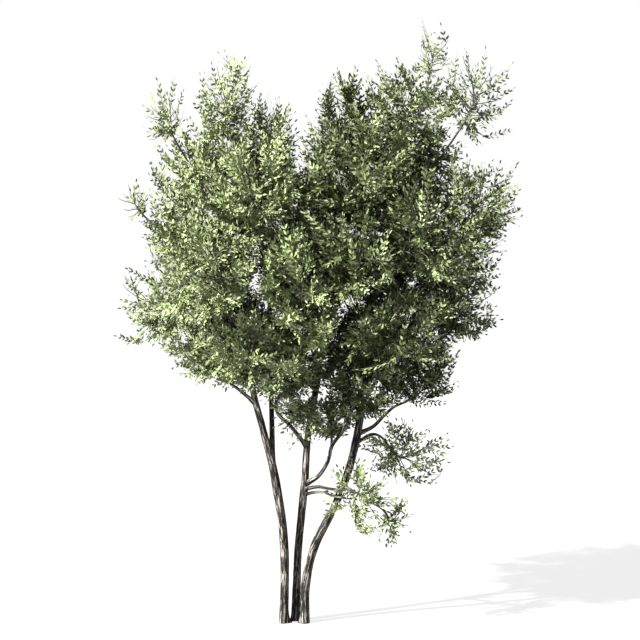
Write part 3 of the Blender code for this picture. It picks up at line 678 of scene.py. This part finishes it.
def shoot_places(space, dice):
    """Points spread through a room, in sprays with gaps between them towards its edge."""
    box = 8 * space.reach.prod()
    size = space.reach.mean()
    dealt = 2 * dice.random((round(SHOOTS_PER_CUBE * box), 3)) - 1
    points = space.centre + space.reach * dealt
    edge = space.edge(points)
    heart = from_heart(points)
    open_air = np.interp(heart, *HEART_AIR)
    gaps = np.interp(edge, *EDGE_GAPS) * open_air * np.interp(size, *GAP_SIZES)
    share = 1 - (1 - np.interp(edge, *EDGE_SHARES)) * open_air + gaps * crowding(points)
    share = share.clip(0, 1) * np.interp(heart, *HEART_SHARES)
    slack = space.slack(points).min(axis=1, initial=OPEN_SLACK)
    share *= np.interp(slack, *SEAM_SHARES) * np.interp(size, *SMALL_SHARES)
    return points[space.holds(points) & (dice.random(len(points)) < share)]


def shoot_points(shoots, rows, shares):
    """Points at shares of the length of some shoots, which bend evenly up or down."""
    roots, directions, lengths, bends = (values[rows] for values in shoots)
    return (roots + directions * (lengths * shares)[..., None]
            + UPWARD * (lengths * bends * shares ** 2)[..., None])


def grow_shoots(name, space, stem, branches, dice, blocked):
    """Leafy shoots that leave the branches for points spread through the room.

    They come as routes for their tubes, and as their roots, directions, lengths and bends.
    """
    tips = shoot_places(space, dice)
    wood = [stem[int(len(stem) * STEM_BARE):, :3]] + [branch[1:, :3] for branch in branches]
    ways = [np.gradient(route, axis=0) for route in wood]
    wood, ways = np.concatenate(wood), unit(np.concatenate(ways))

    # Each shoot takes the root that costs it least.
    across = tips[:, None] - wood
    lengths = np.linalg.norm(across, axis=2)
    ahead = (across * ways).sum(-1) / lengths
    lift = -1 if name in DROOPING else 1
    rise = lift * across[..., 2] / lengths
    wanted = dice.uniform(*SHOOT_LENGTHS, len(tips)) * (1 + EDGE_STRETCH * space.edge(tips))
    cost = np.abs(lengths - wanted[:, None]) / MISFIT - AHEAD_WORTH * ahead - RISE_WORTH * rise
    cost += dice.uniform(0, SHOOT_WILD, cost.shape)
    chosen = cost.argmin(axis=1)
    lengths = lengths[np.arange(len(tips)), chosen]
    roots = wood[chosen]

    bends = lift * dice.uniform(*SHOOT_BEND, len(tips))
    directions = unit(tips - roots - UPWARD * (lengths * bends)[:, None])
    lengths = lengths * dice.uniform(*SHOOT_STRETCH, len(tips))
    kept = (lengths > SHOOT_LEAST) & (lengths < SHOOT_MOST)
    shoots = [values[kept] for values in (roots, directions, lengths, bends)]
    every = np.arange(kept.sum())[:, None]
    places = shoot_points(shoots, every, np.linspace(0, 1, SHOOT_STATIONS))
    clear = clear_of(places.reshape(-1, 3), SHOOT_RADII[0], blocked).reshape(len(places), -1)
    kept = space.holds(places).all(axis=1) & clear[:, 1:].all(axis=1)
    radii = np.broadcast_to(np.linspace(*SHOOT_RADII, SHOOT_STATIONS), places.shape[:2])
    tubes = np.concatenate([places, radii[..., None]], axis=-1)
    return tubes[kept], [values[kept] for values in shoots]


# ---------------------------------------------------------------- leaves

def leaf_points(root, direction, normal, length):
    """The seven points of each folded blade: its root, two pairs at its sides, midrib and tip."""
    side = np.cross(direction, normal)
    half = length * LEAF_WIDTH / 2
    outline = []
    for along, across, sunk in LEAF_POINTS:
        outline.append(root + direction * (length * along)[:, None]
                       + side * (half * across)[:, None] - normal * (length * sunk)[:, None])
    return np.stack(outline, axis=1)


def grow_leaves(space, shoots, dice, blocked):
    """Opposite pairs of leaves along every shoot and one at its tip, all near one plane.

    They come as the points of each blade and the number of its shoot.
    """
    roots, directions, lengths, bends = shoots
    pairs = np.maximum(1, ((lengths - LEAF_FIRST) / LEAF_PITCH).astype(int))
    counts = 2 * pairs + 1
    owner = np.repeat(np.arange(len(roots)), counts)
    number = np.arange(len(owner)) - (np.cumsum(counts) - counts)[owner]
    last = number == 2 * pairs[owner]
    share = np.where(last, 1.0, (LEAF_FIRST + number // 2 * LEAF_PITCH) / lengths[owner])
    share = share.clip(0, 1)
    root = shoot_points(shoots, owner, share)
    along = unit(directions[owner] + UPWARD * (2 * bends[owner] * share)[:, None])
    outward = unit((roots - HEART_CENTRE) * PLANE_OUTWARD)
    strays = dice.normal(0, PLANE_WILD, (len(roots), 3))
    plane = (outward + PLANE_RISE * UPWARD + strays)[owner]
    plane = unit(plane - (plane * along).sum(-1, keepdims=True) * along)
    beside = np.cross(along, plane) * np.where(number % 2, 1, -1)[:, None]

    points = np.zeros((len(owner), len(LEAF_POINTS), 3))
    waiting = np.arange(len(owner))
    for _ in range(LEAF_TRIES):
        each = (len(waiting), 3)
        lean = dice.normal(0, LEAF_LEAN, (len(waiting), 1))
        side = unit(beside[waiting] + plane[waiting] * lean)
        angle = dice.uniform(*LEAF_ANGLES, len(waiting)) * (1 - LEAF_CLOSING * share[waiting])
        angle = (angle * np.where(last[waiting], LEAF_END_ANGLE, 1))[:, None]
        direction = unit(along[waiting] * np.cos(angle) + side * np.sin(angle)
                         + dice.normal(0, LEAF_WILD, each))
        facing = plane[waiting] + dice.normal(0, LEAF_TWIST, each)
        normal = unit(facing - (facing * direction).sum(-1, keepdims=True) * direction)
        length = dice.uniform(*LEAF_LENGTHS, len(waiting)) * (1 - LEAF_TAPER * share[waiting] ** 3)
        tried = leaf_points(root[waiting], direction, normal, length)
        fits = space.holds(tried).all(axis=1)
        fits &= clear_of(tried[:, 3], LEAF_LENGTHS[1] * LEAF_WIDTH / 2, blocked)
        fits &= clear_of(tried[:, -1], LEAF_TIP, blocked)
        points[waiting[fits]] = tried[fits]
        waiting = waiting[~fits]
        beside[waiting] = dice.normal(0, 1, (len(waiting), 3))
    kept = np.setdiff1d(np.arange(len(owner)), waiting)
    return points[kept], owner[kept]


def tone_with_painted_light(part, tips, owner, dice):
    """How pale every leaf is: its own tone by chance, plus painted light and shade by its shoot's
    part of the crown and its place (height and depth in the crown).
    """
    pale = dice.random(len(tips)) + PAINTED_LIGHT_BY_PART[part] + np.interp(from_heart(tips), *PAINTED_HEART_SHADE)
    pale += PAINTED_LIGHT_RISE * (tips[:, 2] - HEART_CENTRE[2])
    return pale[owner] + dice.normal(0, LEAF_VARIETY, len(owner))


# ---------------------------------------------------------------- masses of foliage

def part_of(name):
    """The part of the crown that a mass belongs to."""
    part = name.split("_")[0]
    return part if part in PAINTED_LIGHT_BY_PART else "skirt"


def grow_masses(routes):
    """The wood and the shoots of each part of the crown, and the leaves of each tint."""
    stems = mass_stems(routes)
    limbs = np.vstack([segments_of(route, LIMB_STRIDE) for route in routes.values()])
    wood = {part: [] for part in PAINTED_LIGHT_BY_PART}
    shoots_of = {part: [] for part in PAINTED_LIGHT_BY_PART}
    leaves, leaf_tone_and_light = [], []
    for index, name in enumerate(MASSES):
        dice = np.random.default_rng(SEED + index)
        part = part_of(name)
        space = Space(name)
        others = [segments_of(stem) for other, stem in stems.items() if other != name]
        blocked = near(space, np.vstack([limbs] + others))
        branches = grow_branches(space, stems[name], dice, blocked)
        tubes, shoots = grow_shoots(name, space, stems[name], branches, dice, blocked)
        points, owner = grow_leaves(space, shoots, dice, blocked)
        wood[part].append(thin_tubes(stems[name][None], MASS_STEM_SIDES))
        wood[part].append(thin_tubes(branches, BRANCH_SIDES))
        shoots_of[part].append(thin_tubes(tubes, SHOOT_SIDES))
        leaves.append(points)
        leaf_tone_and_light.append(tone_with_painted_light(part, tubes[:, -1, :3], owner, dice))
    leaves, leaf_tone_and_light = np.concatenate(leaves), np.concatenate(leaf_tone_and_light)
    # Leaves go to the tints by their tone, which holds painted light and shade as well as chance.
    bounds = np.quantile(leaf_tone_and_light, np.linspace(0, 1, len(TINTS) + 1)[1:-1])
    dealt = np.digitize(leaf_tone_and_light, bounds)
    return wood, shoots_of, {tint: leaves[dealt == k] for k, tint in enumerate(TINTS)}


def dress_masses(routes):
    twig, shoot = twig_material("twig", TWIG_COLOUR), twig_material("shoot", SHOOT_COLOUR)
    wood, shoots_of, leaves_of = grow_masses(routes)
    for part in PAINTED_LIGHT_BY_PART:
        names = [name for name in MASSES if part_of(name) == part]
        piece("branches_" + part, *joined(wood[part]), twig, names, "bark")
        piece("shoots_" + part, *joined(shoots_of[part]), shoot, names, "bark")
    for tint, points in leaves_of.items():
        starts = len(LEAF_POINTS) * np.arange(len(points))[:, None, None]
        faces = [(starts + LEAF_FACES).reshape(-1, 3)]
        leaf = leaf_material(tint)
        piece("leaves_" + tint, points.reshape(-1, 3), faces, leaf, list(MASSES), "foliage")


# ---------------------------------------------------------------- materials

def add(tree, kind, links=None, **settings):
    """A node with its settings and with the inputs that links names joined to sockets or set."""
    node = tree.nodes.new("ShaderNode" + kind)
    for key, value in settings.items():
        setattr(node, key, value)
    set_inputs(tree, node, links or {})
    return node


def set_inputs(tree, node, links):
    for key, value in links.items():
        if isinstance(value, bpy.types.NodeSocket):
            tree.links.new(value, node.inputs[key])
        else:
            node.inputs[key].default_value = value


def noise(tree, place, scale, detail, roughness=0.5):
    """Smooth noise from 0 to 1."""
    inputs = {"Vector": place, "Scale": scale, "Detail": detail, "Roughness": roughness}
    return add(tree, "TexNoise", inputs).outputs["Fac"]


def rescaled(tree, value, start=(0.0, 1.0), end=(0.0, 1.0)):
    """A value carried from one range to another."""
    inputs = {"Value": value, "From Min": start[0], "From Max": start[1],
              "To Min": end[0], "To Max": end[1]}
    return add(tree, "MapRange", inputs).outputs["Result"]


def mixed(tree, share, first, second):
    """A mix of two values, with a share of the second."""
    return add(tree, "Mix", {0: share, 2: first, 3: second}).outputs[0]


def bumps(tree, height, strength, depth):
    inputs = {"Height": height, "Strength": strength, "Distance": depth}
    return add(tree, "Bump", inputs).outputs["Normal"]


def ramp(tree, value, stops):
    """A colour ramp through (place, colour) stops."""
    node = add(tree, "ValToRGB", {"Fac": value})
    elements = node.color_ramp.elements
    while len(elements) < len(stops):
        elements.new(0.5)
    for element, (place, colour) in zip(elements, stops):
        element.position = place
        element.color = (*colour, 1.0)
    return node.outputs["Color"]


def new_material(name):
    """A material, its tree and its shader."""
    made = bpy.data.materials.new(name)
    made.use_nodes = True
    tree = made.node_tree
    return made, tree, tree.nodes["Principled BSDF"]


def bark_material():
    """Pale plates and dark cracks that run along the limb, under fine fibres; the near black in the
    cracks is partly painted shade.
    """
    made, tree, shader = new_material("bark")
    place = add(tree, "Attribute", attribute_name="straight").outputs["Vector"]
    relief = add(tree, "Attribute", attribute_name="relief").outputs["Fac"]
    stretched = add(tree, "VectorMath", {0: place, 1: BARK_STRETCH}, operation="MULTIPLY")
    stretched = stretched.outputs["Vector"]
    streaks = noise(tree, stretched, scale=72.0, detail=3.0, roughness=0.6)
    fibres = noise(tree, stretched, scale=260.0, detail=3.0, roughness=0.6)
    patches = noise(tree, place, scale=9.0, detail=2.0)
    plates = mixed(tree, STREAK_SHARE, relief, rescaled(tree, streaks, start=STREAK_RANGE))
    height = mixed(tree, FIBRE_SHARE, plates, fibres)
    # The tones darken where the relief sinks: partly the cracks' own bark, partly painted shade in
    # them.
    tones, warmth = ramp(tree, height, BARK_TONES_AND_CRACK_SHADE), ramp(tree, patches, BARK_PATCHES)
    colour = add(tree, "Mix", {0: 1.0, 6: tones, 7: warmth}, data_type="RGBA", blend_type="MULTIPLY")
    set_inputs(tree, shader, {
        "Base Color": colour.outputs[2],
        "Roughness": rescaled(tree, height, end=(0.95, 0.72)),
        "Normal": bumps(tree, height, strength=0.75, depth=0.004),
        "Specular IOR Level": 0.25,
    })
    return made


def mottled_material(name, colour, tones, scale, detail, rough, strength, depth, specular=0.5):
    """A material mottled by one noise. The tones are (place, share of the colour) stops."""
    made, tree, shader = new_material(name)
    specks = noise(tree, add(tree, "TexCoord").outputs["Object"], scale, detail)
    stops = [(place, [min(1.0, share * value) for value in colour]) for place, share in tones]
    set_inputs(tree, shader, {
        "Base Color": ramp(tree, specks, stops),
        "Roughness": rescaled(tree, specks, end=rough),
        "Normal": bumps(tree, specks, strength, depth),
        "Specular IOR Level": specular,
    })
    return made


def twig_material(name, colour):
    """Young bark: grey-brown with fine specks."""
    tones = ((0.34, 0.45), (0.5, 1.0), (0.68, 1.9))
    return mottled_material(name, colour, tones, scale=120.0, detail=3.0,
                            rough=(0.6, 0.9), strength=0.4, depth=0.001)


def leaf_material(tint):
    """A leathery leaf of one tint, mottled a little, with a low gloss."""
    tones = ((0.32, 0.72), (0.68, 1.3))
    return mottled_material("leaf_" + tint, TINTS[tint], tones, scale=38.0, detail=2.0,
                            rough=(0.36, 0.55), strength=0.25, depth=0.002, specular=0.14)


# ---------------------------------------------------------------- studio

def place_in_scene(name, data):
    """An object for a mesh, a lamp or a camera of the studio."""
    obj = bpy.data.objects.new(name, data)
    bpy.context.scene.collection.objects.link(obj)
    return obj


def sky():
    """White low down, where the camera looks, and dim above, so that shadows keep some depth."""
    world = bpy.data.worlds.new("studio")
    world.use_nodes = True
    tree = world.node_tree
    ways = add(tree, "TexCoord").outputs["Generated"]
    height = add(tree, "SeparateXYZ", {"Vector": ways}).outputs["Z"]
    shade = ramp(tree, height, SKY_TONES)
    set_inputs(tree, tree.nodes["Background"], {"Color": shade, "Strength": 1.0})
    bpy.context.scene.world = world


def sun():
    lamp = bpy.data.lights.new("key", "SUN")
    lamp.energy = SUN_STRENGTH
    lamp.angle = math.radians(SUN_DEGREES)
    lamp.color = SUN_COLOUR
    key = place_in_scene("key", lamp)
    key.rotation_mode = "QUATERNION"
    key.rotation_quaternion = Vector(SUN_FROM).to_track_quat("Z", "Y")


def ground():
    """A plain pale floor, wide enough to fill every view."""
    made, tree, shader = new_material("floor")
    grain = noise(tree, add(tree, "TexCoord").outputs["Object"], scale=2.0, detail=3.0)
    set_inputs(tree, shader, {
        "Base Color": ramp(tree, grain, FLOOR_TONES),
        "Emission Color": (1.0, 1.0, 1.0, 1.0),
        "Emission Strength": FLOOR_GLOW,
        "Roughness": 0.9,
    })
    mesh = bpy.data.meshes.new("floor")
    corners = [(FLOOR_REACH * x, FLOOR_REACH * y, FLOOR_HEIGHT)
               for x, y in ((-1, -1), (1, -1), (1, 1), (-1, 1))]
    mesh.from_pydata(corners, [], [(0, 1, 2, 3)])
    mesh.materials.append(made)
    floor = place_in_scene("floor", mesh)


def camera():
    lens = bpy.data.cameras.new("camera")
    lens.sensor_width = CAMERA_SENSOR
    lens.lens = CAMERA_LENS
    view = place_in_scene("camera", lens)
    view.location = CAMERA_PLACE
    view.rotation_euler = (math.pi / 2, 0.0, 0.0)
    bpy.context.scene.camera = view


bpy.context.scene.view_settings.view_transform = "Standard"
sky()
sun()
ground()
camera()
limb_lines = limb_routes()
dress_limbs(limb_lines)
dress_masses(limb_lines)
